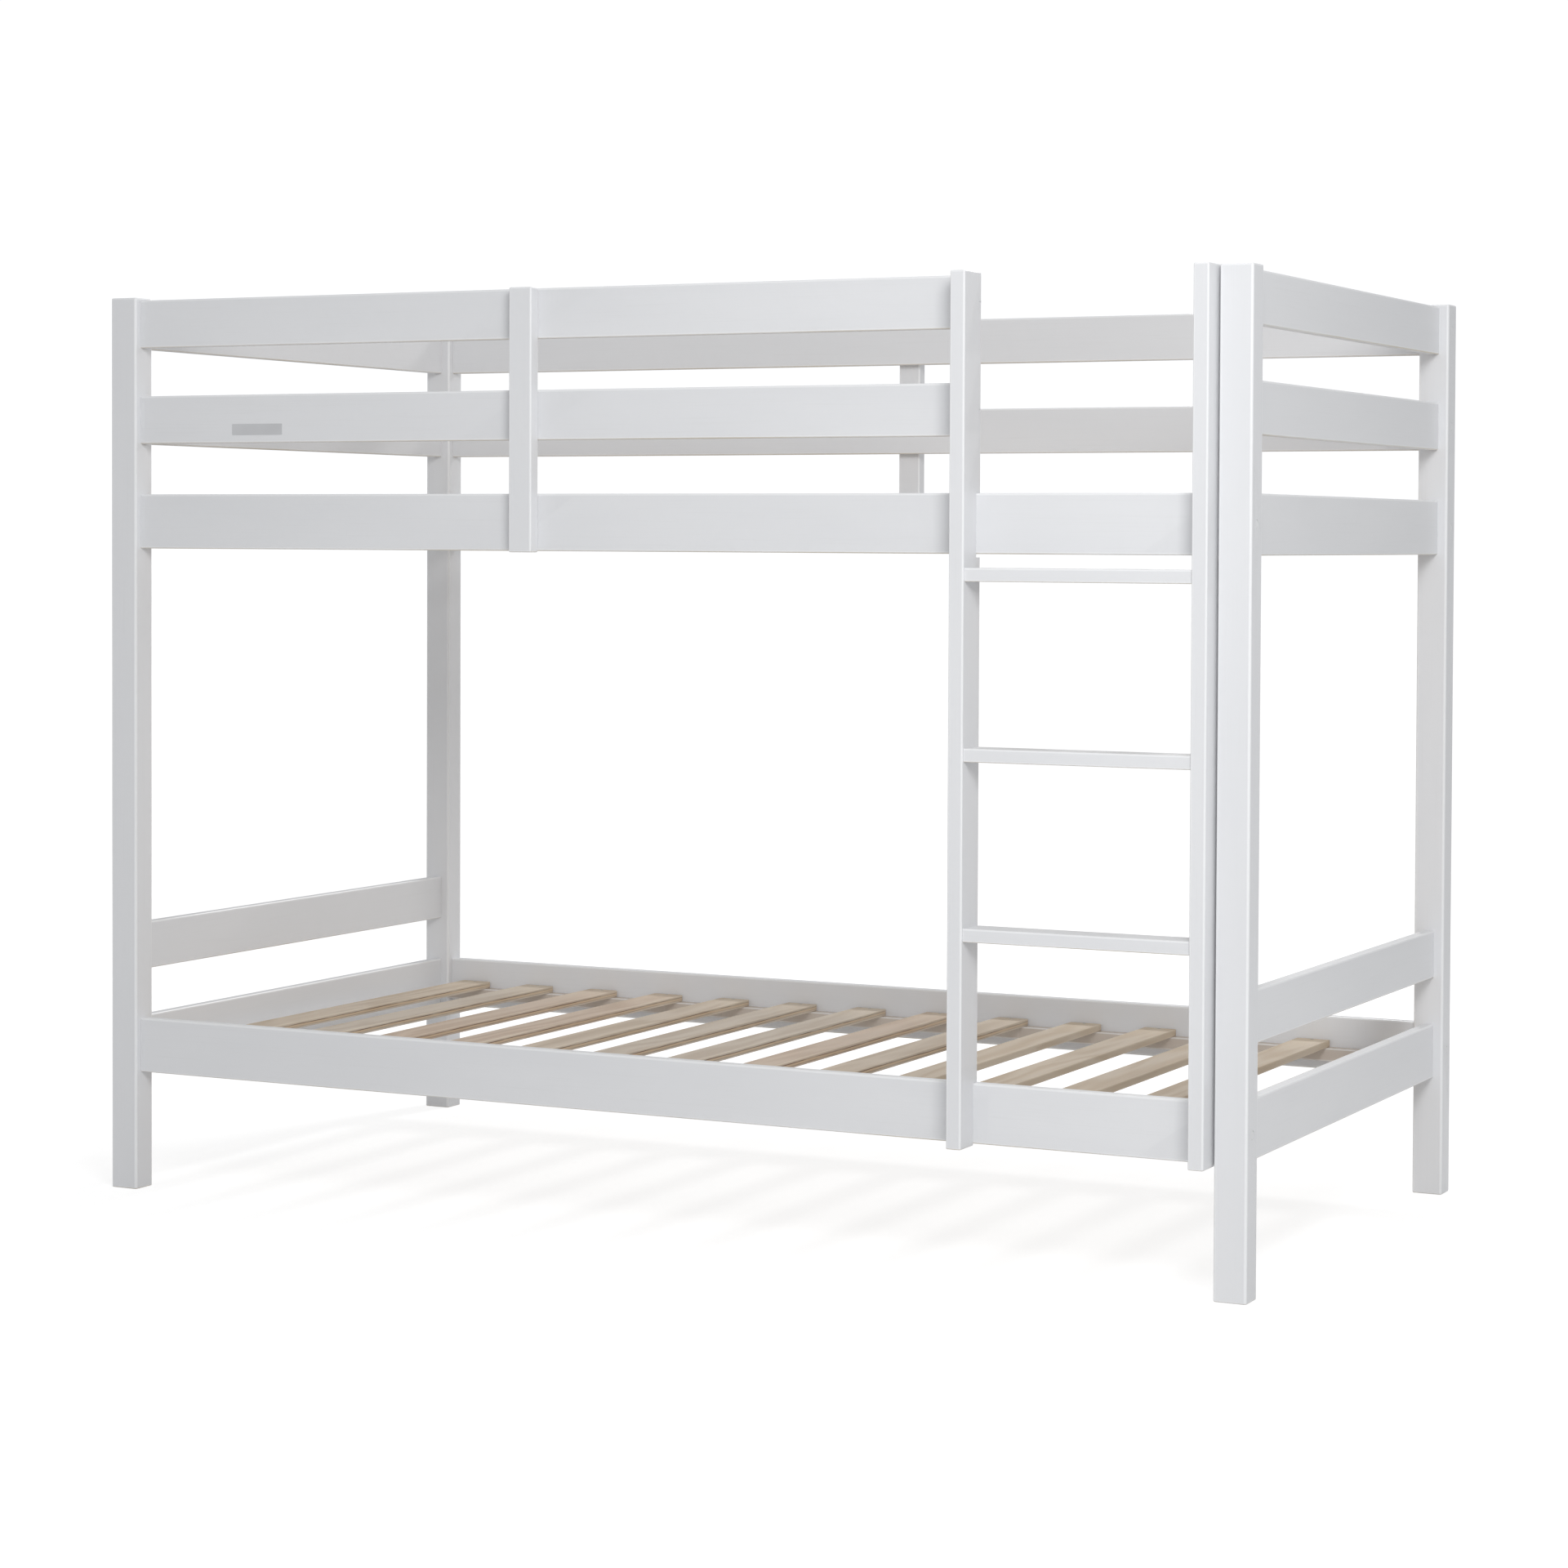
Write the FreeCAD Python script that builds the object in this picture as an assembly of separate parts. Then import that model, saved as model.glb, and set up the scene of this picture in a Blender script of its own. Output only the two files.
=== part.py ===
"""Bunk bed with a notched ladder: writes one STEP file per named piece.

Sizes are in millimetres. X runs along the bed, Y from the front to the back, Z up.
Pieces are laid out from the front left corner of the bed, then moved so that the
origin is the middle of the footprint, on the floor.
"""
import os
import FreeCAD
import Part
from FreeCAD import Vector

# Overall size
BED_LENGTH = 1990.0
BED_WIDTH = 978.0
BED_HEIGHT = 1468.0

# Posts and boards
POST_X = 50.0
POST_Y = 43.0
POST_ROUND = 3.0
FOOT_ROUND = 2.0
BOARD = 18.0
BOARD_ROUND = 2.5
SIDE_RAIL_H = 89.0
GUARD_RAIL_H = 78.0

# Heights: the lower bunk is set up from the floor, the upper one down from the post tops
LOWER_RAIL_Z = 193.0
HEAD_RAIL_GAP = 77.0
TOP_DROP = 4.0
UPPER_GUARD_GAP = 79.0
LOWER_GUARD_GAP = 83.0

# Slat bearers and slats
BEARER_Y = 20.0
BEARER_H = 22.0
BEARER_TOP = 38.0
BEARER_END_GAP = 2.0
BEARER_ROUND = 1.5
SLAT_COUNT = 14
SLAT_W = 58.0
SLAT_T = 12.0
SLAT_HEAD_MARGIN = 45.0
SLAT_FOOT_MARGIN = 26.0
SLAT_END_GAP = 2.0
SLAT_ROUND = 2.0

# Battens that tie the guard rails together
BATTEN_W = 40.0
BATTEN_T = 22.0
BATTEN_BELOW = 2.0
BATTEN_ABOVE = 1.0
BATTEN_ROUND = 2.0

# Ladder
STILE_X = 23.5
STILE_Y = 59.0
STILE_PROUD = 32.5
STILE_ROUND = 2.0
STILE_BELOW_RAIL = 3.0
LADDER_GAP = 4.0
NOTCH_BELOW = 5.0
RUNG_COUNT = 3
RUNG_LENGTH = 352.5
RUNG_Y = 52.0
RUNG_T = 20.0
RUNG_SET_BACK = 4.0
RUNG_ABOVE_RAIL = 211.0
RUNG_BELOW_RAIL = 20.0
RUNG_ROUND = 2.0

# Fixings
FIT = 0.1
BOLT_R = 3.0
BOLT_HEAD_R = 5.5
BOLT_HEAD_H = 4.0
COVER_R = 6.5
COVER_T = 2.0
NUT_R = 5.0
NUT_LENGTH = 14.0
NUT_FROM_END = 27.0
BOLT_HOLE_EXTRA = 3.0
DOWEL_R = 4.0
DOWEL_LENGTH = 36.0
DOWEL_SPREAD = 0.3
RUNG_DOWEL_LENGTH = 34.0
RUNG_DOWEL_IN_STILE = 14.0
RUNG_DOWEL_SPREAD = 14.0
SCREW_HEAD = 1.9
SCREW_CONE = 1.3
SCREW_SHORT = 6.0
LADDER_SCREW_R = 2.25
GUARD_SCREW_BITE = 38.0
STILE_SCREW_BITE = 27.0
STILE_SCREW_DROP = 37.0
BATTEN_SCREW_R = 2.0
BATTEN_SCREW_SHARES = (0.55, 0.85)
BEARER_SCREW_R = 2.0
SLAT_SCREW_R = 1.75

# Positions that follow from the sizes above
INSET_Y = (POST_Y - BOARD) / 2
INSET_X = (POST_X - BOARD) / 2
FRONT_IN = INSET_Y + BOARD
REAR_OUT = BED_WIDTH - INSET_Y
REAR_IN = REAR_OUT - BOARD
LEFT_IN = INSET_X + BOARD
RIGHT_IN = BED_LENGTH - LEFT_IN
RIGHT_POST = BED_LENGTH - POST_X
REAR_POST = BED_WIDTH - POST_Y
LOWER_RAIL_TOP = LOWER_RAIL_Z + SIDE_RAIL_H
HEAD_RAIL_Z = LOWER_RAIL_TOP + HEAD_RAIL_GAP
TOP_GUARD_Z = BED_HEIGHT - TOP_DROP - GUARD_RAIL_H
MIDDLE_GUARD_Z = TOP_GUARD_Z - UPPER_GUARD_GAP - GUARD_RAIL_H
UPPER_RAIL_TOP = MIDDLE_GUARD_Z - LOWER_GUARD_GAP
UPPER_RAIL_Z = UPPER_RAIL_TOP - SIDE_RAIL_H
SLAT_FIRST = LEFT_IN + SLAT_HEAD_MARGIN
SLAT_LAST = RIGHT_IN - SLAT_FOOT_MARGIN - SLAT_W
SLAT_PITCH = (SLAT_LAST - SLAT_FIRST) / (SLAT_COUNT - 1)
STILE_FRONT = -STILE_PROUD
STILE_REAR = STILE_FRONT + STILE_Y
STILE_BOTTOM = LOWER_RAIL_Z - STILE_BELOW_RAIL
RIGHT_STILE = RIGHT_POST - LADDER_GAP - STILE_X
LEFT_STILE = RIGHT_STILE - RUNG_LENGTH - STILE_X
RUNG_FRONT = STILE_FRONT + RUNG_SET_BACK
RUNG_FIRST_Z = LOWER_RAIL_TOP + RUNG_ABOVE_RAIL
RUNG_LAST_Z = UPPER_RAIL_Z - RUNG_BELOW_RAIL - RUNG_T
RUNG_PITCH = (RUNG_LAST_Z - RUNG_FIRST_Z) / (RUNG_COUNT - 1)
BOLT_LENGTH = POST_X + NUT_FROM_END + NUT_R - COVER_T - BOLT_HEAD_H
BATTEN_SCREW_LENGTH = BATTEN_T + BOARD - SCREW_SHORT
BEARER_SCREW_LENGTH = BEARER_Y + BOARD - SCREW_SHORT
SLAT_SCREW_LENGTH = SLAT_T + BEARER_H - SCREW_SHORT
CENTRE_X = BED_LENGTH / 2
CENTRE_Y = (STILE_FRONT + REAR_OUT + BATTEN_T) / 2

AXIS_X = Vector(1, 0, 0)
AXIS_Y = Vector(0, 1, 0)
AXIS_Z = Vector(0, 0, 1)

pieces = {}
holes = {}


def along(edge, axis):
    """True if a straight edge runs along the axis."""
    direction = edge.tangentAt(edge.FirstParameter)
    return abs(abs(direction.dot(axis)) - 1) < 1e-6


def board(low, size, radius, axis=None):
    """A box from its low corner and size, rounded on the edges along the axis, or on all."""
    box = Part.makeBox(size[0], size[1], size[2], Vector(*low))
    edges = [e for e in box.Edges if axis is None or along(e, axis)]
    return box.makeFillet(radius, edges)


def drill(names, hole):
    """Notes a hole to be cut from each of the named pieces."""
    for name in names:
        holes.setdefault(name, []).append(hole)


def rod(point, direction, radius, length):
    """A round bar from a point along a direction."""
    return Part.makeCylinder(radius, length, point, direction)


def turned(shape, point, direction):
    """A copy of a shape drawn along +Z, set at a point and turned along a direction."""
    copy = shape.copy()
    copy.Placement = FreeCAD.Placement(point, FreeCAD.Rotation(AXIS_Z, direction))
    return copy


def screw_body(radius, length):
    """A countersunk screw along +Z with its head's flat face at the origin."""
    head_r = radius * SCREW_HEAD
    cone_h = radius * SCREW_CONE
    head = Part.makeCone(head_r, radius, cone_h)
    shank = Part.makeCylinder(radius, length - cone_h - radius, Vector(0, 0, cone_h))
    tip = Part.makeCone(radius, radius * 0.2, radius, Vector(0, 0, length - radius))
    return head.fuse([shank, tip]).removeSplitter()


def screw(radius, length):
    """The screw with a cross recess in its head."""
    arm = radius * 1.2
    slot = radius * 0.3
    depth = radius * 0.9
    recess = Part.makeBox(2 * arm, slot, depth, Vector(-arm, -slot / 2, 0))
    across = Part.makeBox(slot, 2 * arm, depth, Vector(-slot / 2, -arm, 0))
    return screw_body(radius, length).cut(recess.fuse(across))


def add_screws(group, radius, length, places):
    """Screws at (point, direction, drilled pieces), kept as one node of separate solids."""
    body = screw(radius, length)
    hole = screw_body(radius + FIT, length + FIT)
    for point, direction, names in places:
        pieces.setdefault(group, []).append(turned(body, point, direction))
        drill(names, turned(hole, point, direction))


def post_name(right, rear):
    return "post_" + ("rear" if rear else "front") + ("_right" if right else "_left")


def make_posts():
    """Four full-height corner posts, rounded on every edge."""
    for right in (0, 1):
        for rear in (0, 1):
            low = (right * RIGHT_POST, rear * REAR_POST, 0)
            post = board(low, (POST_X, POST_Y, BED_HEIGHT), POST_ROUND, AXIS_Z)
            rims = [e for e in post.Edges if not along(e, AXIS_Z)]
            pieces[post_name(right, rear)] = post.makeChamfer(FOOT_ROUND, rims)


def rail_along_x(name, y, z, height, x_end):
    """A rail between the left posts and x_end."""
    pieces[name] = board((POST_X, y, z), (x_end - POST_X, BOARD, height), BOARD_ROUND, AXIS_X)


def rail_along_y(name, x, z, height):
    """A rail between the front and the rear posts of one end."""
    pieces[name] = board((x, POST_Y, z), (BOARD, REAR_POST - POST_Y, height), BOARD_ROUND, AXIS_Y)


def make_long_rails():
    """Side rails and guard rails. Returns (name, y, z, height, bolted at the right too)."""
    rear_y = REAR_IN
    rails = [
        ("lower_front_side_rail", INSET_Y, LOWER_RAIL_Z, SIDE_RAIL_H, True),
        ("lower_rear_side_rail", rear_y, LOWER_RAIL_Z, SIDE_RAIL_H, True),
        ("upper_front_side_rail", INSET_Y, UPPER_RAIL_Z, SIDE_RAIL_H, True),
        ("upper_rear_side_rail", rear_y, UPPER_RAIL_Z, SIDE_RAIL_H, True),
        ("rear_middle_guard_rail", rear_y, MIDDLE_GUARD_Z, GUARD_RAIL_H, True),
        ("rear_top_guard_rail", rear_y, TOP_GUARD_Z, GUARD_RAIL_H, True),
        ("front_middle_guard_rail", INSET_Y, MIDDLE_GUARD_Z, GUARD_RAIL_H, False),
        ("front_top_guard_rail", INSET_Y, TOP_GUARD_Z, GUARD_RAIL_H, False),
    ]
    for name, y, z, height, full in rails:
        rail_along_x(name, y, z, height, RIGHT_POST if full else LEFT_STILE)
    return rails


def make_end_rails():
    """Five rails across each end. Returns (name, x, z, height)."""
    rails = []
    for side, x, low_guard in (("left", INSET_X, "head_rail"), ("right", RIGHT_IN, "foot_rail")):
        rails.append(("lower_%s_end_rail" % side, x, LOWER_RAIL_Z, SIDE_RAIL_H))
        rails.append((low_guard, x, HEAD_RAIL_Z, GUARD_RAIL_H))
        rails.append(("upper_%s_end_rail" % side, x, UPPER_RAIL_Z, SIDE_RAIL_H))
        rails.append(("%s_middle_guard_rail" % side, x, MIDDLE_GUARD_Z, GUARD_RAIL_H))
        rails.append(("%s_top_guard_rail" % side, x, TOP_GUARD_Z, GUARD_RAIL_H))
    for name, x, z, height in rails:
        rail_along_y(name, x, z, height)
    return rails


def bolt_rail_end(name, y, z, height, right):
    """One bolt with its cover and barrel nut, and two dowels, at one end of a long rail."""
    face = BED_LENGTH if right else 0
    way = Vector(-1, 0, 0) if right else AXIS_X
    post = post_name(right, y > BED_WIDTH / 2)
    mid_y = y + BOARD / 2
    mid_z = z + height / 2
    seat = Vector(face, mid_y, mid_z)
    under_head = seat + way * (COVER_T + BOLT_HEAD_H)
    socket = rod(seat + way * COVER_T, way, BOLT_R, BOLT_HEAD_H / 2)
    head = rod(seat + way * COVER_T, way, BOLT_HEAD_R, BOLT_HEAD_H).cut(socket)
    bolt = head.fuse(rod(under_head, way, BOLT_R, BOLT_LENGTH))
    pieces.setdefault("rail_bolts", []).append(bolt)
    pieces.setdefault("bolt_covers", []).append(rod(seat, way, COVER_R, COVER_T))
    drill([post], rod(seat, way, COVER_R + FIT, COVER_T + BOLT_HEAD_H))
    reach = BOLT_LENGTH + BOLT_HOLE_EXTRA
    drill([post, name], rod(under_head, way, BOLT_R + 2 * FIT, reach))
    nut_at = seat + way * (POST_X + NUT_FROM_END)
    nut_low = Vector(nut_at.x, mid_y - NUT_LENGTH / 2, mid_z)
    nut = rod(nut_low, AXIS_Y, NUT_R, NUT_LENGTH)
    pieces.setdefault("barrel_nuts", []).append(nut.cut(rod(under_head, way, BOLT_R + FIT, reach)))
    drill([name], rod(nut_low, AXIS_Y, NUT_R + FIT, BOARD))
    for shift in (-DOWEL_SPREAD * height, DOWEL_SPREAD * height):
        start = seat + way * (POST_X - DOWEL_LENGTH / 2) + Vector(0, 0, shift)
        pieces.setdefault("side_dowels", []).append(rod(start, way, DOWEL_R, DOWEL_LENGTH))
        drill([post, name], rod(start - way * FIT, way, DOWEL_R + FIT, DOWEL_LENGTH + 2 * FIT))


def join_long_rails(rails):
    """Bolts every long rail to its posts."""
    for name, y, z, height, full in rails:
        bolt_rail_end(name, y, z, height, False)
        if full:
            bolt_rail_end(name, y, z, height, True)


def join_end_rails(rails):
    """Two glued dowels at each end of every end rail."""
    for name, x, z, height in rails:
        right = x > BED_LENGTH / 2
        for rear, face, way in ((0, POST_Y, AXIS_Y), (1, REAR_POST, Vector(0, -1, 0))):
            for shift in (-DOWEL_SPREAD * height, DOWEL_SPREAD * height):
                joint = Vector(x + BOARD / 2, face, z + height / 2 + shift)
                start = joint - way * (DOWEL_LENGTH / 2)
                pieces.setdefault("end_dowels", []).append(rod(start, way, DOWEL_R, DOWEL_LENGTH))
                hole = rod(start - way * FIT, way, DOWEL_R + FIT, DOWEL_LENGTH + 2 * FIT)
                drill([post_name(right, rear), name], hole)


def slat_x(index):
    return SLAT_FIRST + index * SLAT_PITCH


def bunk_base(bunk, rail_z):
    """Two slat bearers, the slats and their screws for one bunk."""
    top = rail_z + BEARER_TOP
    length = RIGHT_POST - POST_X - 2 * BEARER_END_GAP
    places = []
    for side, y, inner, way in (
        ("front", FRONT_IN, FRONT_IN + BEARER_Y, Vector(0, -1, 0)),
        ("rear", REAR_IN - BEARER_Y, REAR_IN - BEARER_Y, AXIS_Y),
    ):
        bearer = "%s_%s_bearer" % (bunk, side)
        low = (POST_X + BEARER_END_GAP, y, top - BEARER_H)
        pieces[bearer] = board(low, (length, BEARER_Y, BEARER_H), BEARER_ROUND, AXIS_X)
        rail = "%s_%s_side_rail" % (bunk, side)
        for index in range(0, SLAT_COUNT - 1, 2):
            gap_x = (slat_x(index) + SLAT_W + slat_x(index + 1)) / 2
            places.append((Vector(gap_x, inner, top - BEARER_H / 2), way, [bearer, rail]))
    add_screws("bearer_screws", BEARER_SCREW_R, BEARER_SCREW_LENGTH, places)
    slat_low = FRONT_IN + SLAT_END_GAP
    slat_length = REAR_IN - SLAT_END_GAP - slat_low
    places = []
    for index in range(SLAT_COUNT):
        slat = board((slat_x(index), slat_low, top), (SLAT_W, slat_length, SLAT_T), SLAT_ROUND)
        if bunk == "lower":
            node = "lower_slat_%02d" % (index + 1)
            pieces[node] = slat
        else:
            node = "upper_slats"
            pieces.setdefault(node, []).append(slat)
        for side, y in (("front", FRONT_IN + BEARER_Y / 2), ("rear", REAR_IN - BEARER_Y / 2)):
            point = Vector(slat_x(index) + SLAT_W / 2, y, top + SLAT_T)
            places.append((point, Vector(0, 0, -1), [node, "%s_%s_bearer" % (bunk, side)]))
    add_screws("slat_screws", SLAT_SCREW_R, SLAT_SCREW_LENGTH, places)


def make_battens():
    """One batten in front of the front guard and one behind the rear guard."""
    low_z = UPPER_RAIL_Z - BATTEN_BELOW
    height = TOP_GUARD_Z + GUARD_RAIL_H + BATTEN_ABOVE - low_z
    levels = (
        ("side_rail", UPPER_RAIL_Z, SIDE_RAIL_H),
        ("middle_guard_rail", MIDDLE_GUARD_Z, GUARD_RAIL_H),
        ("top_guard_rail", TOP_GUARD_Z, GUARD_RAIL_H),
    )
    places = []
    way = Vector(0, -1, 0)
    for side, middle, y, head in (
        ("front", (POST_X + LEFT_STILE) / 2, INSET_Y - BATTEN_T, FRONT_IN),
        ("rear", BED_LENGTH / 2, REAR_OUT, REAR_OUT + BATTEN_T),
    ):
        name = "%s_guard_batten" % side
        low = (middle - BATTEN_W / 2, y, low_z)
        pieces[name] = board(low, (BATTEN_W, BATTEN_T, height), BATTEN_ROUND)
        for kind, z, rail_h in levels:
            rail = ("upper_" if kind == "side_rail" else "") + "%s_%s" % (side, kind)
            for share in BATTEN_SCREW_SHARES:
                places.append((Vector(middle, head, z + share * rail_h), way, [name, rail]))
    add_screws("batten_screws", BATTEN_SCREW_R, BATTEN_SCREW_LENGTH, places)


def make_stile(name, x):
    """A ladder side, cut away at the back where it passes the two front side rails."""
    low = (x, STILE_FRONT, STILE_BOTTOM)
    stile = board(low, (STILE_X, STILE_Y, BED_HEIGHT - STILE_BOTTOM), STILE_ROUND)
    for bottom, top in ((0, LOWER_RAIL_TOP), (UPPER_RAIL_Z - NOTCH_BELOW, UPPER_RAIL_TOP)):
        corner = Vector(x - 1, INSET_Y, bottom)
        depth = STILE_REAR - INSET_Y + 1
        stile = stile.cut(Part.makeBox(STILE_X + 2, depth, top - bottom, corner))
    pieces[name] = stile


def make_ladder():
    """Two notched stiles, three rungs, their dowels and the screws that hold the ladder."""
    stiles = (("ladder_left_stile", LEFT_STILE), ("ladder_right_stile", RIGHT_STILE))
    for name, x in stiles:
        make_stile(name, x)
    rung_x = LEFT_STILE + STILE_X
    for index in range(RUNG_COUNT):
        z = RUNG_FIRST_Z + index * RUNG_PITCH
        rung = "ladder_rung_%d" % (index + 1)
        size = (RUNG_LENGTH, RUNG_Y, RUNG_T)
        pieces[rung] = board((rung_x, RUNG_FRONT, z), size, RUNG_ROUND, AXIS_X)
        for name, joint, way in (
            (stiles[0][0], rung_x, AXIS_X),
            (stiles[1][0], RIGHT_STILE, Vector(-1, 0, 0)),
        ):
            for shift in (-RUNG_DOWEL_SPREAD, RUNG_DOWEL_SPREAD):
                middle = Vector(joint, RUNG_FRONT + RUNG_Y / 2 + shift, z + RUNG_T / 2)
                start = middle - way * RUNG_DOWEL_IN_STILE
                dowel = rod(start, way, DOWEL_R, RUNG_DOWEL_LENGTH)
                pieces.setdefault("rung_dowels", []).append(dowel)
                hole = rod(start - way * FIT, way, DOWEL_R + FIT, RUNG_DOWEL_LENGTH + 2 * FIT)
                drill([name, rung], hole)
    mid_y = INSET_Y + BOARD / 2
    places = []
    for rail, z in (("front_middle_guard_rail", MIDDLE_GUARD_Z), ("front_top_guard_rail", TOP_GUARD_Z)):
        point = Vector(rung_x, mid_y, z + GUARD_RAIL_H / 2)
        places.append((point, Vector(-1, 0, 0), ["ladder_left_stile", rail]))
    add_screws("guard_end_screws", LADDER_SCREW_R, STILE_X + GUARD_SCREW_BITE, places)
    places = []
    for name, x in stiles:
        for bunk, top in (("lower", LOWER_RAIL_TOP), ("upper", UPPER_RAIL_TOP)):
            point = Vector(x + STILE_X / 2, FRONT_IN, top - STILE_SCREW_DROP)
            places.append((point, Vector(0, -1, 0), [name, bunk + "_front_side_rail"]))
    add_screws("ladder_screws", LADDER_SCREW_R, BOARD + STILE_SCREW_BITE, places)


def finished(name, shape):
    """The piece with its holes cut, moved so the origin is mid footprint on the floor."""
    if name in holes:
        cutter = Part.makeCompound(holes[name])
        if isinstance(shape, list):
            shape = [solid.cut(cutter) for solid in shape]
        else:
            shape = shape.cut(cutter)
    if isinstance(shape, list):
        shape = Part.makeCompound([solid for one in shape for solid in one.Solids])
    elif len(shape.Solids) == 1:
        shape = shape.Solids[0]
    shape.translate(Vector(-CENTRE_X, -CENTRE_Y, 0))
    return shape


def main():
    make_posts()
    join_long_rails(make_long_rails())
    join_end_rails(make_end_rails())
    bunk_base("lower", LOWER_RAIL_Z)
    bunk_base("upper", UPPER_RAIL_Z)
    make_battens()
    make_ladder()
    os.makedirs("parts", exist_ok=True)
    for name, shape in pieces.items():
        finished(name, shape).exportStep("parts/%s.step" % name)


main()
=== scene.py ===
"""Bunk bed with a fixed ladder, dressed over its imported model.

White lacquered boards, raw plywood and pine slats, zinc plated fixings. Sizes are in
metres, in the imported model's own frame: X along the bed, Y from front to back, Z up.
"""
import logging
import math
import random
from dataclasses import dataclass
from enum import Enum
from typing import Iterable, Sequence

import bmesh
import bpy
from mathutils import Matrix, Vector, noise


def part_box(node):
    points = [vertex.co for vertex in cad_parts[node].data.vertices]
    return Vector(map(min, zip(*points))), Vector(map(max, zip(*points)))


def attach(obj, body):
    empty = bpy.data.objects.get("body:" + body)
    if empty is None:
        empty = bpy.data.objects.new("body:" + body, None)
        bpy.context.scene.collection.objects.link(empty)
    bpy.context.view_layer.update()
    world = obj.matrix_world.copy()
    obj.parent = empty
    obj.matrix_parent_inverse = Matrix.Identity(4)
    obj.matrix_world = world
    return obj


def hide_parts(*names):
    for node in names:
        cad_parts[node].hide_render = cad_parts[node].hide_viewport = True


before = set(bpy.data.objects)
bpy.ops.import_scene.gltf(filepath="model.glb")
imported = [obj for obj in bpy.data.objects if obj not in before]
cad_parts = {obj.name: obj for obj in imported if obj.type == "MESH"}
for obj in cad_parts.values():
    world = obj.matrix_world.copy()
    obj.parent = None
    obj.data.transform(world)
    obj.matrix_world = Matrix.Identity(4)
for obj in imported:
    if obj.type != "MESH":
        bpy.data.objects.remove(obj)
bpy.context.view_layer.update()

log = logging.getLogger("bunk_bed")
MM = 0.001
SIDES = ("front", "rear")
SHARP_EDGE = math.radians(32)
DRAW_STEP = 61.0


class Run(Enum):
    """The way a board's length, and so its grain, lies in the bed."""

    ALONG = "along the bed"
    ACROSS = "across the bed"
    UPRIGHT = "upright"

    def turn(self) -> Matrix:
        """Turns a board made along its own X into place.

        Returns:
            The turn.
        """
        if self is Run.ACROSS:
            return Matrix.Rotation(math.radians(90), 4, "Z")
        if self is Run.UPRIGHT:
            return Matrix.Rotation(math.radians(-90), 4, "Y")
        return Matrix.Identity(4)

    def own_size(self, size: Vector) -> Vector:
        """Sorts a board's size into its own axes.

        Args:
            size: Its size along the bed's axes.

        Returns:
            Its length, width and thickness.
        """
        if self is Run.ACROSS:
            return Vector((size.y, size.x, size.z))
        if self is Run.UPRIGHT:
            return Vector((size.z, size.y, size.x))
        return size.copy()


class Stock(Enum):
    """What a slat is sawn from."""

    PLYWOOD = "plywood"
    PINE = "pine"


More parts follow.
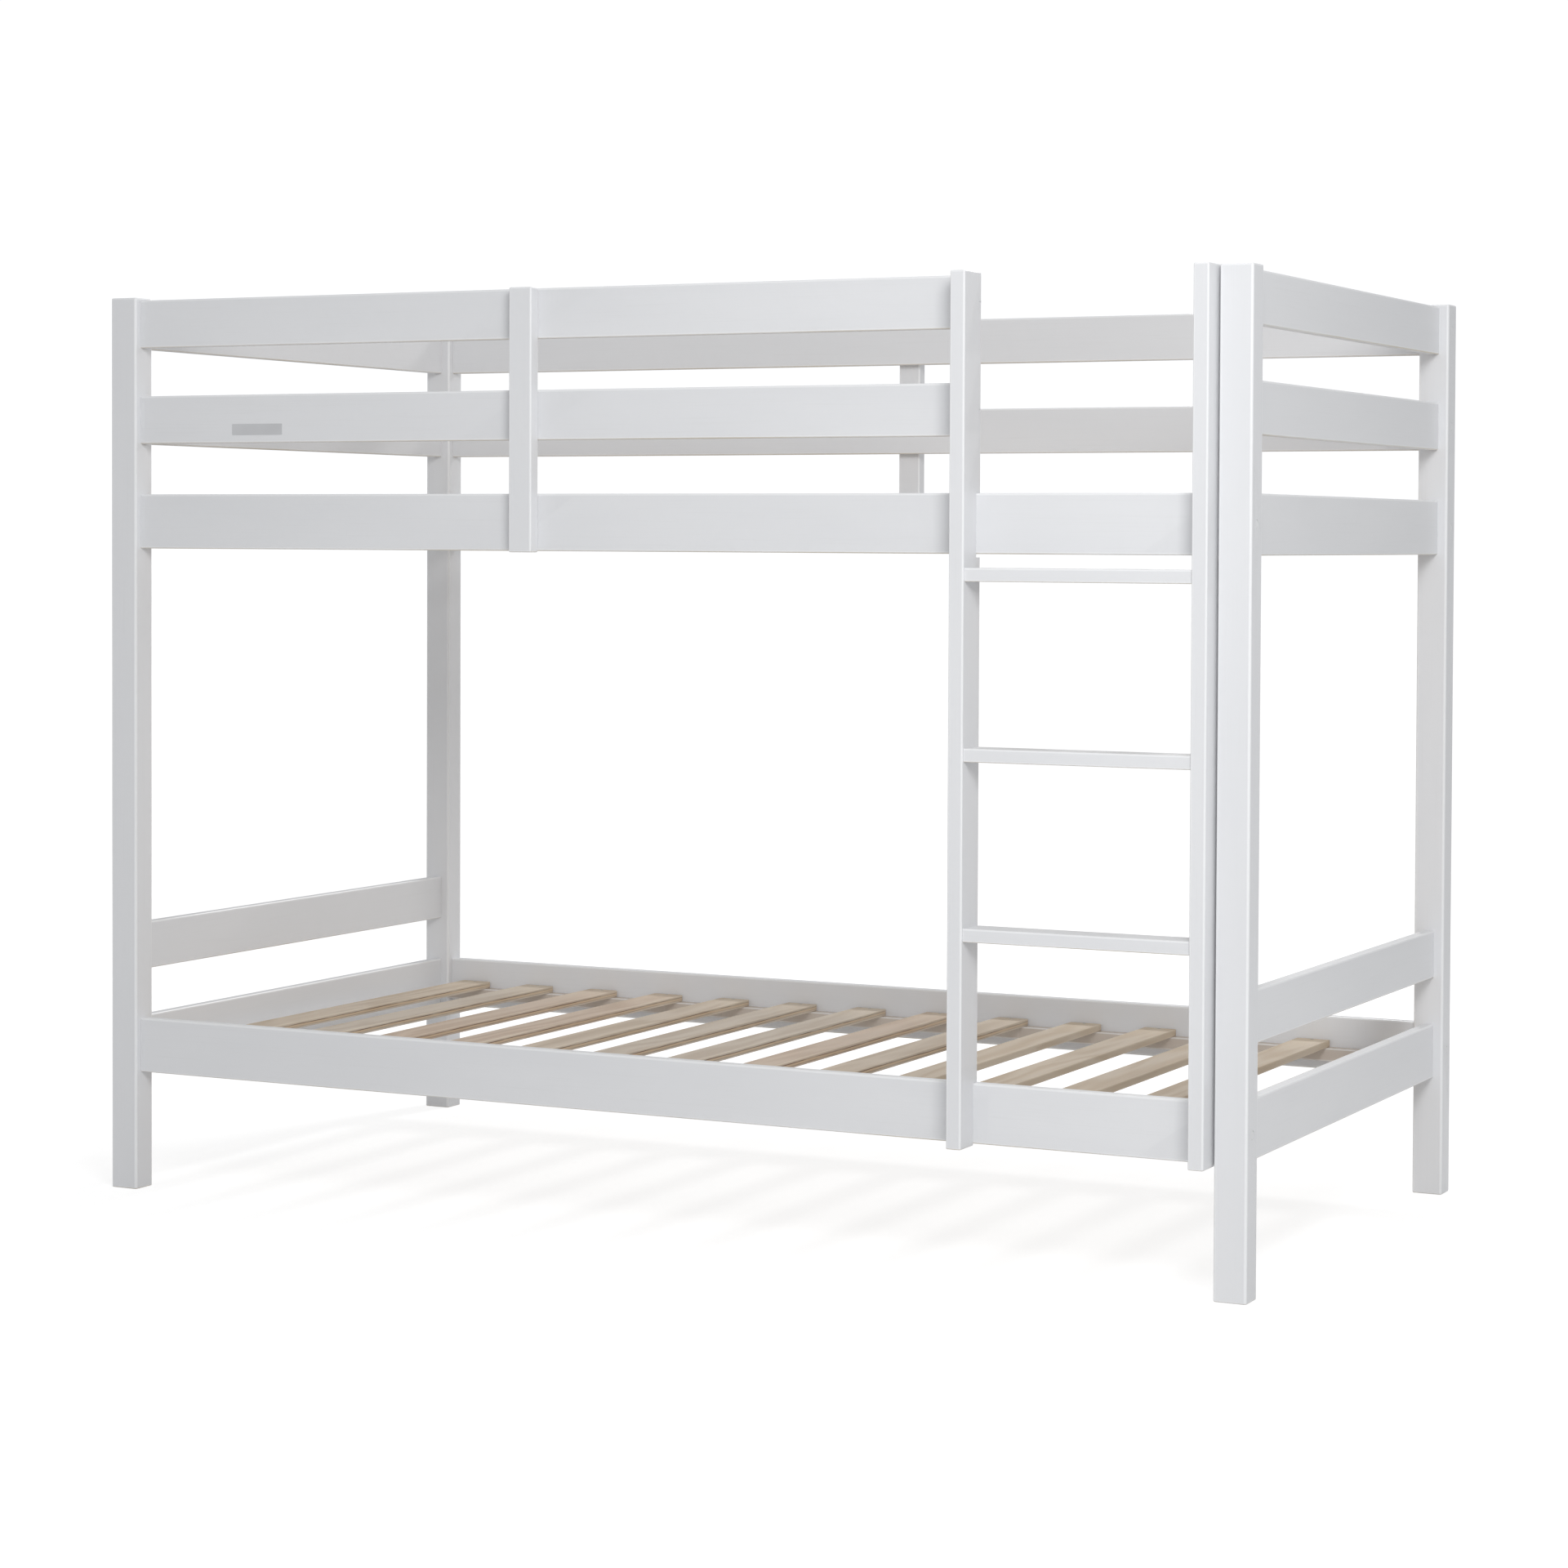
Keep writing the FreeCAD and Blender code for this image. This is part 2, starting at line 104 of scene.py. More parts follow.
class Graph:
    """A node material, written one node at a time."""

    def __init__(self, name: str) -> None:
        """Starts an empty material with a surface shader.

        Args:
            name: The material's name.
        """
        self.material = bpy.data.materials.new(name)
        self.material.use_nodes = True
        self.tree = self.material.node_tree
        self.shader = self.tree.nodes["Principled BSDF"]

    def add(self, kind: str, inputs: dict | None = None, **settings: object) -> bpy.types.Node:
        """Adds a node.

        Args:
            kind: The node's type.
            inputs: Values or sockets to join to, by input name or number.
            **settings: The node's own settings.

        Returns:
            The node.
        """
        node = self.tree.nodes.new(kind)
        for key, value in settings.items():
            setattr(node, key, value)
        for key, value in (inputs or {}).items():
            self.feed(node.inputs[key], value)
        return node

    def feed(self, socket: bpy.types.NodeSocket, value: object) -> None:
        """Joins a socket to an input, or sets the input's value.

        Args:
            socket: The input.
            value: What goes in: another node's socket, or a plain value.
        """
        if isinstance(value, bpy.types.NodeSocket):
            self.tree.links.new(value, socket)
        else:
            socket.default_value = value

    def surface(self, name: str, value: object) -> None:
        """Joins or sets one input of the surface shader."""
        self.feed(self.shader.inputs[name], value)

    def maths(self, operation: str, *values: object) -> bpy.types.NodeSocket:
        """One sum on two or three numbers."""
        inputs = dict(enumerate(values))
        return self.add("ShaderNodeMath", inputs, operation=operation).outputs[0]

    def blend(self, share: object, first: object, second: object) -> bpy.types.NodeSocket:
        """A colour between two colours."""
        node = self.add("ShaderNodeMix", {0: share, 6: first, 7: second}, data_type="RGBA")
        return node.outputs[2]

    def spread(self, value: object, low: float, high: float,
               to_low: float = 0.0, to_high: float = 1.0) -> bpy.types.NodeSocket:
        """Maps a number from one range to another, clamped."""
        inputs = {0: value, 1: low, 2: high, 3: to_low, 4: to_high}
        return self.add("ShaderNodeMapRange", inputs).outputs[0]

    def number(self, name: str) -> bpy.types.NodeSocket:
        """A number stored on the mesh."""
        return self.add("ShaderNodeAttribute", attribute_name=name).outputs["Fac"]

    def own(self) -> bpy.types.NodeSocket:
        """The point in the piece's own axes."""
        return self.add("ShaderNodeTexCoord").outputs["Object"]

    def parts(self, vector: bpy.types.NodeSocket) -> Sequence[bpy.types.NodeSocket]:
        """A vector's three numbers."""
        return self.add("ShaderNodeSeparateXYZ", {0: vector}).outputs

    def length(self, vector: bpy.types.NodeSocket) -> bpy.types.NodeSocket:
        """A vector's length."""
        inputs = {0: vector}
        return self.add("ShaderNodeVectorMath", inputs, operation="LENGTH").outputs["Value"]

    def upward(self) -> bpy.types.NodeSocket:
        """How far the surface faces up, from -1 to 1."""
        return self.parts(self.add("ShaderNodeNewGeometry").outputs["Normal"])[2]

    def place(self, stretch: Sequence[float]) -> bpy.types.NodeSocket:
        """The point on the board, stretched, and moved on by each board's own draw.

        Args:
            stretch: How much it is stretched along, across and through the board.

        Returns:
            The point.
        """
        draw = self.maths("MULTIPLY", self.number("draw"), DRAW_STEP)
        moved = self.add("ShaderNodeVectorMath", {0: self.own(), 1: self.vector(draw)})
        inputs = {"Vector": moved.outputs[0], "Scale": tuple(stretch)}
        return self.add("ShaderNodeMapping", inputs).outputs[0]

    def vector(self, value: object) -> bpy.types.NodeSocket:
        """The same number three ways, as a vector."""
        return self.add("ShaderNodeCombineXYZ", {0: value, 1: value, 2: value}).outputs[0]

    def cloud(self, stretch: Sequence[float], detail: float = 3.0,
              warp: float = 0.0) -> bpy.types.NodeSocket:
        """Noise over the board.

        Args:
            stretch: How often it repeats per metre, along, across and through.
            detail: Octaves of the noise.
            warp: How far it is bent by itself.

        Returns:
            The noise, about 0 to 1.
        """
        inputs = {"Vector": self.place(stretch), "Scale": 1.0, "Detail": detail,
                  "Roughness": 0.55, "Distortion": warp}
        return self.add("ShaderNodeTexNoise", inputs).outputs[0]

    def speckle(self, scale: float) -> bpy.types.NodeSocket:
        """Even noise over a small fitting, that repeats so often per metre."""
        return self.add("ShaderNodeTexNoise", {"Vector": self.own(), "Scale": scale}).outputs[0]

    def bumps(self, *layers: tuple) -> bpy.types.NodeSocket:
        """Stacks bumps.

        Args:
            *layers: A height, a strength and a depth in metres for each.

        Returns:
            The bent normal.
        """
        normal = None
        for height, strength, depth in layers:
            inputs = {"Height": height, "Strength": strength, "Distance": depth}
            if normal is not None:
                inputs["Normal"] = normal
            normal = self.add("ShaderNodeBump", inputs).outputs[0]
        return normal


@dataclass(frozen=True)
class Lacquer:
    """Sprayed satin lacquer over sanded pine."""

    name: str = "satin_white_lacquer"
    white: tuple = (0.800, 0.806, 0.822, 1.0)
    shade: tuple = (0.772, 0.779, 0.797, 1.0)
    underside_shade_and_wear: tuple = (0.640, 0.560, 0.420, 1.0)
    gloss: float = 0.34
    grain_depth: float = 0.12 * MM
    underside_shade_and_wear_strength: float = 0.80
    streak: tuple = (0.715, 0.715, 0.720, 1.0)
    painted_arris_highlight: tuple = (0.93, 0.935, 0.945, 1.0)
    painted_arris_highlight_share: float = 0.55
    coat: float = 0.18
    coat_roughness: float = 0.22

    def material(self) -> bpy.types.Material:
        """Builds the finish.

        Returns:
            The material: faint cloudiness, grain showing through, a fine spray texture, a
            painted highlight on the arrises, and painted shade, brown like worn paint, where
            they face down.
        """
        g = Graph(self.name)
        patches = g.cloud((2.2, 9.0, 9.0), 2.0)
        fibres = g.cloud((7.0, 420.0, 420.0), 4.0, 0.6)
        spray = g.cloud((950.0, 950.0, 950.0), 1.0)
        even = g.spread(patches, 0.3, 0.7)
        body = g.blend(even, self.white, self.shade)
        streaks = g.spread(fibres, 0.30, 0.45, 0.16, 0.0)
        body = g.blend(streaks, body, self.streak)
        # painted highlight: every arris is blended towards a paler white
        thick = g.maths("MULTIPLY", g.number("arris"), self.painted_arris_highlight_share)
        body = g.blend(thick, body, self.painted_arris_highlight)
        # painted shade, partly wear: arrises that face down are blended towards a warm brown
        under = g.maths("MULTIPLY", g.number("arris"), g.spread(g.upward(), -0.15, -0.6))
        painted_edge_shading_and_wear = g.maths("MULTIPLY", under, g.spread(patches, 0.42, 0.66, 0.35, 1.0))
        g.surface("Base Color", g.blend(g.maths("MULTIPLY", painted_edge_shading_and_wear, self.underside_shade_and_wear_strength), body,
                                        self.underside_shade_and_wear))
        g.surface("Roughness", g.spread(g.maths("ADD", patches, spray), 0.7, 1.3,
                                        self.gloss - 0.05, self.gloss + 0.07))
        g.surface("Specular IOR Level", 0.5)
        g.surface("Coat Weight", self.coat)
        g.surface("Coat Roughness", self.coat_roughness)
        g.surface("Normal", g.bumps((fibres, 0.30, self.grain_depth), (spray, 0.10, 0.03 * MM),
                                    (patches, 0.25, 1.2 * MM)))
        return g.material


@dataclass(frozen=True)
class SlatWood:
    """Planed, unfinished slat timber.

    A ply line is its level in the slat and its half width, in millimetres, and its strength.
    """

    name: str
    stock: Stock
    pale: tuple = (0.585, 0.497, 0.400, 1.0)
    deep: tuple = (0.455, 0.362, 0.268, 1.0)
    ply_lines: tuple = ((1.9, 1.0, 0.90), (-2.7, 0.8, 0.55))
    pores: tuple = (0.26, 0.19, 0.13, 1.0)
    clouded: tuple = (0.60, 0.535, 0.46, 1.0)
    painted_end_light: tuple = (0.76, 0.645, 0.50, 1.0)
    painted_end_light_from: float = 0.30
    painted_end_light_to: float = 0.455
    painted_edge_shading_and_wear: tuple = (0.70, 0.61, 0.49, 1.0)
    cross_ply: tuple = (0.60, 0.43, 0.26, 1.0)
    glue: tuple = (0.125, 0.062, 0.032, 1.0)

    def material(self) -> bpy.types.Material:
        """Builds the wood.

        Returns:
            The material: grain along the slat, ply lines on a plywood edge, painted light
            on both ends and a painted highlight with some rubbing on the arrises.
        """
        g = Graph(self.name)
        pore = g.cloud((14.0, 900.0, 900.0), 4.0, 0.4)
        cloud = g.cloud((3.0, 26.0, 26.0), 3.0, 0.8)
        rings = self.rings(g)
        body = g.blend(g.maths("MULTIPLY", rings, g.spread(cloud, 0.2, 0.8, 0.45, 1.0)),
                       self.pale, self.deep)
        body = g.blend(g.spread(pore, 0.25, 0.42, 0.35, 0.0), body, self.pores)
        body = g.blend(g.spread(cloud, 0.35, 0.75, 0.0, 0.35), body, self.clouded)
        height = pore
        if self.stock is Stock.PLYWOOD:
            body, height = self.plies(g, body, pore)
        # painted light: both ends of every slat are blended paler, as if lit
        along = g.maths("ABSOLUTE", g.parts(g.own())[0])
        body = g.blend(g.spread(along, self.painted_end_light_from, self.painted_end_light_to, 0.0, 0.42), body,
                       self.painted_end_light)
        # painted highlight with some rubbing: the slat's arrises are blended paler
        painted_edge_shading_and_wear = g.maths("MULTIPLY", g.number("arris"), g.spread(cloud, 0.4, 0.7, 0.1, 0.7))
        g.surface("Base Color", g.blend(painted_edge_shading_and_wear, body, self.painted_edge_shading_and_wear))
        g.surface("Roughness", g.spread(pore, 0.3, 0.7, 0.72, 0.56))
        g.surface("Specular IOR Level", 0.3)
        g.surface("Normal", g.bumps((height, 0.5, 0.25 * MM), (cloud, 0.4, 1.0 * MM)))
        return g.material

    def rings(self, g: Graph) -> bpy.types.NodeSocket:
        """Draws growth rings cut lengthwise, wide and drifting.

        Args:
            g: The graph to add to.

        Returns:
            The rings, 0 to 1.
        """
        bent = g.cloud((2.2, 11.0, 11.0), 2.0, 0.3)
        across = g.parts(g.place((1.0, 1.0, 1.0)))
        span = g.maths("ADD", g.maths("MULTIPLY", across[1], 118.0),
                       g.maths("MULTIPLY", across[2], 60.0))
        wave = g.maths("SINE", g.maths("ADD", span, g.maths("MULTIPLY", bent, 26.0)))
        return g.spread(wave, -0.9, 1.0)

    def plies(self, g: Graph, body: bpy.types.NodeSocket,
              pore: bpy.types.NodeSocket) -> tuple:
        """Shows the layers on the edges of a plywood slat.

        Args:
            g: The graph to add to.
            body: The colour so far.
            pore: The fine grain.

        Returns:
            The new colour and the height for the bump.
        """
        waver = g.cloud((5.0, 5.0, 5.0), 2.0)
        level = g.maths("ADD", g.maths("MULTIPLY", g.parts(g.own())[2], 1.0 / MM),
                        g.spread(waver, 0.3, 0.7, -0.7, 0.7))
        edge = g.spread(g.maths("ABSOLUTE", g.upward()), 0.75, 0.35)
        torn = g.cloud((24.0, 60.0, 900.0), 3.0)
        cross = g.spread(g.maths("ABSOLUTE", g.maths("ADD", level, 0.4)), 2.6, 1.2, 0.0, 0.6)
        colour = g.blend(g.maths("MULTIPLY", cross, edge), body, self.cross_ply)
        height = pore
        for where, half, strength in self.ply_lines:
            off = g.maths("ABSOLUTE", g.maths("SUBTRACT", level, where))
            glue = g.maths("MULTIPLY", g.spread(off, half, half * 0.3),
                           g.spread(torn, 0.36, 0.52, 0.15, strength))
            glue = g.maths("MULTIPLY", glue, edge)
            colour = g.blend(glue, colour, self.glue)
            height = g.maths("SUBTRACT", height, glue)
        return colour, height


@dataclass(frozen=True)
class Plated:
    """Zinc plated steel."""

    name: str = "zinc_plate"
    bright: tuple = (0.60, 0.60, 0.58, 1.0)
    dull: tuple = (0.36, 0.34, 0.31, 1.0)

    def material(self) -> bpy.types.Material:
        """Builds the metal.

        Returns:
            The material: cloudy passivation and fine scratches.
        """
        g = Graph(self.name)
        cloud, scratch = g.speckle(420.0), g.speckle(2600.0)
        g.surface("Base Color", g.blend(g.spread(cloud, 0.3, 0.7), self.bright, self.dull))
        g.surface("Metallic", 1.0)
        g.surface("Roughness", g.spread(scratch, 0.3, 0.7, 0.28, 0.48))
        g.surface("Normal", g.bumps((scratch, 0.2, 0.02 * MM)))
        return g.material


@dataclass(frozen=True)
class Moulded:
    """White moulded plastic with a fine spark-eroded skin."""

    name: str = "moulded_cover"
    white: tuple = (0.790, 0.795, 0.805, 1.0)
    shade: tuple = (0.760, 0.765, 0.775, 1.0)

    def material(self) -> bpy.types.Material:
        """Builds the plastic.

        Returns:
            The material: a fine skin and a faint drift of tone.
        """
        g = Graph(self.name)
        skin, tone = g.speckle(3200.0), g.speckle(14.0)
        g.surface("Base Color", g.blend(g.spread(tone, 0.35, 0.65), self.white, self.shade))
        g.surface("Roughness", g.spread(skin, 0.3, 0.7, 0.42, 0.55))
        g.surface("Normal", g.bumps((skin, 0.25, 0.03 * MM)))
        return g.material


@dataclass(frozen=True)
class DowelWood:
    """Fluted beech dowel."""

    name: str = "beech_dowel"
    pale: tuple = (0.62, 0.47, 0.31, 1.0)
    deep: tuple = (0.50, 0.35, 0.21, 1.0)

    def material(self) -> bpy.types.Material:
        """Builds the beech.

        Returns:
            The material: pale wood with short dark flecks.
        """
        g = Graph(self.name)
        fleck = g.speckle(700.0)
        g.surface("Base Color", g.blend(g.spread(fleck, 0.4, 0.6), self.pale, self.deep))
        g.surface("Roughness", g.spread(fleck, 0.3, 0.7, 0.6, 0.75))
        g.surface("Normal", g.bumps((fleck, 0.3, 0.1 * MM)))
        return g.material


@dataclass
class Cut:
    """A turned hole: where it starts, which way it goes, and its (depth, radius) outline."""

    start: Vector
    way: Vector
    outline: Sequence[tuple]

    def mesh(self, work: bmesh.types.BMesh, around: int = 28) -> None:
        """Turns the outline about its axis into a closed form.

        Args:
            work: The mesh to add to.
            around: Sides of each turn.
        """
        turn = self.way.to_track_quat("Z", "Y").to_matrix().to_4x4()
        place = Matrix.Translation(self.start) @ turn
        rings = []
        for depth, radius in self.outline:
            ring = []
            for step in range(around):
                angle = math.tau * step / around
                spot = Vector((radius * math.cos(angle), radius * math.sin(angle), depth))
                ring.append(work.verts.new(place @ spot))
            rings.append(ring)
        for near, far in zip(rings, rings[1:]):
            for step in range(around):
                after = (step + 1) % around
                work.faces.new((near[step], near[after], far[after], far[step]))
        work.faces.new(list(reversed(rings[0])))
        work.faces.new(rings[-1])


@dataclass
class Notch:
    """A square-cornered piece sawn out of a board, by its low and high corners."""

    low: Vector
    high: Vector

    def mesh(self, work: bmesh.types.BMesh) -> None:
        """Adds the block that is sawn away.

        Args:
            work: The mesh to add to.
        """
        made = bmesh.ops.create_cube(work, size=1.0)["verts"]
        size = self.high - self.low
        for vert in made:
            vert.co = self.low + Vector((c + 0.5) * s for c, s in zip(vert.co, size))


@dataclass(frozen=True)
class ScrewSize:
    """A countersunk screw's shank radius and length, and its head's shares of the shank."""

    radius: float
    length: float
    fit: float = 0.1 * MM
    head: float = 1.9
    cone: float = 1.3
    skim: float = 0.3 * MM

    def hole(self, at: Vector, way: Vector) -> Cut:
        """Works out the countersunk hole for this screw.

        Args:
            at: The middle of the head, on the face.
            way: The way it is driven.

        Returns:
            The hole.
        """
        shank = self.radius + self.fit
        head = shank * self.head
        outline = ((-self.skim, head), (0.0, head), (shank * self.cone, shank),
                   (self.length, shank))
        return Cut(at, way, outline)


@dataclass
class Board:
    """A straight board with rounded arrises, made along its own X about its middle.

    arris is the radius along it and ease the one at its ends; steps is the faces of an arris,
    wander how uneven it is, hold the strip that keeps the flats flat, and bay the longest
    stretch between two rings.
    """

    low: Vector
    high: Vector
    run: Run
    arris: float
    ease: float = 0.6 * MM
    steps: int = 5
    wander: float = 0.12
    seed: int = 0
    end_steps: int = 4
    hold: float = 1.2 * MM
    bay: float = 0.12

    def rounding(self, along: float) -> float:
        """The arris radius at one place: sanded by hand, so not quite even."""
        wave = noise.noise(Vector((along * 5.0, self.seed * 3.7, 0.0)))
        return self.arris * (1.0 + self.wander * wave)

    def section(self, width: float, thick: float, along: float, inset: float) -> list:
        """One ring round the board.

        Args:
            width: The board's full width.
            thick: The board's full thickness.
            along: Where the ring is along the board.
            inset: How far the ring is drawn in for a rounded end.

        Returns:
            (across, through, share of arris) for each point.
        """
        half_w, half_t = width / 2 - inset, thick / 2 - inset
        least, most = 0.25 * MM, 0.45 * thick - inset
        radius = min(max(self.rounding(along) - inset, least), most)
        hold = min(self.hold, (half_t - radius) * 0.5)
        points = []
        for quarter, (side, face) in enumerate(((1, 1), (-1, 1), (-1, -1), (1, -1))):
            middle = Vector((side * (half_w - radius), face * (half_t - radius)))
            first = math.radians(90 * quarter)
            last = first + math.radians(90)
            before = Vector((math.cos(first), math.sin(first)))
            after = Vector((math.cos(last), math.sin(last)))
            points.append((*(middle + before * radius - after * hold), 0.0))
            for step in range(self.steps + 1):
                angle = first + math.radians(90) * step / self.steps
                spot = middle + radius * Vector((math.cos(angle), math.sin(angle)))
                points.append((*spot, 1.0))
            points.append((*(middle + after * radius - before * hold), 0.0))
        return points

    def stations(self, length: float) -> list:
        """Spaces the rings along the board.

        Args:
            length: The board's length.

        Returns:
            (place along the board, inset, share of arris) of each ring.
        """
        half = length / 2
        start = [(-half, self.ease + 1.0 * MM, 0.0)]
        for step in range(self.end_steps + 1):
            angle = math.radians(90) * step / self.end_steps
            back = self.ease * (1 - math.cos(angle))
            drawn = self.ease * (1 - math.sin(angle))
            start.append((-half + back, drawn, 1.0))
        start.append((-half + self.ease + self.hold, 0.0, 0.0))
        count = max(3, round(length / self.bay))
        span = length - 2 * (self.ease + self.hold)
        middle = [(-span / 2 + span * i / count, 0.0, 0.0) for i in range(1, count)]
        end = [(-x, inset, share) for x, inset, share in reversed(start)]
        return start + middle + end

    def mesh(self) -> bpy.types.Mesh:
        """Builds the board's skin.

        Returns:
            The mesh, with each point's share of arris and the board's draw stored on it.
        """
        length, width, thick = self.run.own_size(self.high - self.low)
        work = bmesh.new()
        share_of = work.verts.layers.float.new("arris")
        draw_of = work.verts.layers.float.new("draw")
        draw = random.Random(self.seed).random()
        rings = []
        for along, inset, end_share in self.stations(length):
            ring = []
            for across, through, share in self.section(width, thick, along, inset):
                vert = work.verts.new((along, across, through))
                vert[share_of] = max(share, end_share)
                vert[draw_of] = draw
                ring.append(vert)
            rings.append(ring)
        for near, far in zip(rings, rings[1:]):
            for i, vert in enumerate(near):
                after = (i + 1) % len(near)
                work.faces.new((vert, near[after], far[after], far[i]))
        work.faces.new(list(reversed(rings[0])))
        work.faces.new(rings[-1])
        return Piece.skin("board", work)

    def make(self, name: str, material: bpy.types.Material, slot: str,
             stands_for: Iterable[str], cuts: Sequence = ()) -> bpy.types.Object:
        """Sets the board in place, cuts it, and dresses it.

        Args:
            name: The piece's name.
            material: Its finish.
            slot: The record's slot for that finish.
            stands_for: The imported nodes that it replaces.
            cuts: The holes and notches to take out, in the bed's frame.

        Returns:
            The piece.
        """
        piece = Piece.put(name, self.mesh())
        middle = Matrix.Translation((self.low + self.high) / 2)
        piece.matrix_world = middle @ self.run.turn()
        if cuts:
            self.cut(piece, cuts)
        return Piece.dress(piece, material, slot, stands_for)

    def cut(self, piece: bpy.types.Object, cuts: Sequence) -> None:
        """Takes the cuts out of the piece's mesh.

        Args:
            piece: The board, in place.
            cuts: The holes and notches, in the bed's frame.
        """
        work = bmesh.new()
        for one in cuts:
            one.mesh(work)
        cutter = Piece.put("cutter", Piece.skin("cutter", work))
        saw = piece.modifiers.new("saw", "BOOLEAN")
        saw.object, saw.operation, saw.solver = cutter, "DIFFERENCE", "EXACT"
        seen = piece.evaluated_get(bpy.context.evaluated_depsgraph_get())
        made = bpy.data.meshes.new_from_object(seen)
        piece.modifiers.clear()
        piece.data = made
        bpy.data.objects.remove(cutter)


class Piece:
    """What every piece needs."""

    @staticmethod
    def skin(name: str, work: bmesh.types.BMesh) -> bpy.types.Mesh:
        """Turns a work mesh into a kept one, with its faces outward.

        Args:
            name: The new mesh's name.
            work: The work mesh, which is freed.

        Returns:
            The mesh.
        """
        bmesh.ops.recalc_face_normals(work, faces=work.faces)
        mesh = bpy.data.meshes.new(name)
        work.to_mesh(mesh)
        work.free()
        return mesh

    @staticmethod
    def put(name: str, mesh: bpy.types.Mesh) -> bpy.types.Object:
        """Puts a new object into the scene.

        Args:
            name: Its name.
            mesh: Its mesh.

        Returns:
            The object.
        """
        piece = bpy.data.objects.new(name, mesh)
        bpy.context.scene.collection.objects.link(piece)
        return piece

    @staticmethod
    def dress(piece: bpy.types.Object, material: bpy.types.Material, slot: str,
              stands_for: Iterable[str]) -> bpy.types.Object:
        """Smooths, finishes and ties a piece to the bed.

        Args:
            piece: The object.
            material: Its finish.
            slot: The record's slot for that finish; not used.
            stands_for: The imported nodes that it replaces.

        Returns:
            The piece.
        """
        mesh = piece.data
        mesh.materials.clear()
        mesh.materials.append(material)
        for face in mesh.polygons:
            face.use_smooth = True
            face.material_index = 0
        mesh.set_sharp_from_angle(angle=SHARP_EDGE)
        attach(piece, "root")
        if stands_for:
            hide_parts(*stands_for)
        log.info("made %s, %d faces", piece.name, len(mesh.polygons))
        return piece

    @staticmethod
    def box(node: str) -> tuple:
        """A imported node's low and high corners, as vectors."""
        low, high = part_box(node)
        return Vector(low), Vector(high)


@dataclass
class Finishes:
    """The materials, made once and shared."""

    lacquer: bpy.types.Material
    zinc: bpy.types.Material
    cover: bpy.types.Material
    beech: bpy.types.Material
    primer: bpy.types.Material

    @classmethod
    def mix(cls) -> "Finishes":
        """Makes every shared finish.

        Returns:
            The finishes.
        """
        primer = Lacquer("thin_primer", white=(0.640, 0.570, 0.505, 1.0),
                         shade=(0.560, 0.485, 0.420, 1.0), underside_shade_and_wear=(0.480, 0.380, 0.290, 1.0),
                         gloss=0.52, grain_depth=0.20 * MM, underside_shade_and_wear_strength=0.75)
        return cls(Lacquer().material(), Plated().material(), Moulded().material(),
                   DowelWood().material(), primer.material())


@dataclass
class LongRail:
    """A bolted rail along the bed, and the places of its barrel nuts."""

    node: str
    nut_from_end: float = 27 * MM
    nut_radius: float = 5.1 * MM
    nut_half: float = 7 * MM
    meets: float = 0.5 * MM

    def ends(self) -> list:
        """Finds the ends that meet a post.

        Returns:
            (end face's X, way into the rail) of each.
        """
        low, high = Piece.box(self.node)
        side = "front" if low.y < 0 else "rear"
        found = []
        if abs(low.x - Piece.box(f"post_{side}_left")[1].x) < self.meets:
            found.append((low.x, 1))
        if abs(high.x - Piece.box(f"post_{side}_right")[0].x) < self.meets:
            found.append((high.x, -1))
        return found

    def nut_holes(self) -> list:
        """Places the holes for the barrel nuts, open at the rail's rear face.

        Returns:
            The holes.
        """
        low, high = Piece.box(self.node)
        middle = (low + high) / 2
        past = 1 * MM
        depth = high.y - middle.y + self.nut_half + past
        outline = ((0.0, self.nut_radius), (depth, self.nut_radius))
        return [Cut(Vector((x + way * self.nut_from_end, middle.y - self.nut_half, middle.z)),
                    Vector((0, 1, 0)), outline) for x, way in self.ends()]


@dataclass(frozen=True)
class RailScrews:
    """The screws that hold the battens and the ladder to the rails, driven from behind."""

    stile: ScrewSize = ScrewSize(2.25 * MM, 45 * MM)
    stile_drop: float = 37 * MM
    batten: ScrewSize = ScrewSize(2.0 * MM, 34 * MM)
    batten_shares: tuple = (0.55, 0.85)

    def holes(self, node: str) -> list:
        """Places the screw holes that cross one rail.

        Args:
            node: The rail.

        Returns:
            The cuts.
        """
        low, high = Piece.box(node)
        side = "front" if low.y < 0 else "rear"
        way = Vector((0, -1, 0))
        cuts = []
        if not node.startswith("lower"):
            b_low, b_high = Piece.box(f"{side}_guard_batten")
            head = max(high.y, b_high.y)
            for share in self.batten_shares:
                spot = Vector(((b_low.x + b_high.x) / 2, head, low.z + share * (high.z - low.z)))
                cuts.append(self.batten.hole(spot, way))
        if node.endswith("front_side_rail"):
            for hand in ("left", "right"):
                s_low, s_high = Piece.box(f"ladder_{hand}_stile")
                spot = Vector(((s_low.x + s_high.x) / 2, high.y, high.z - self.stile_drop))
                cuts.append(self.stile.hole(spot, way))
        return cuts


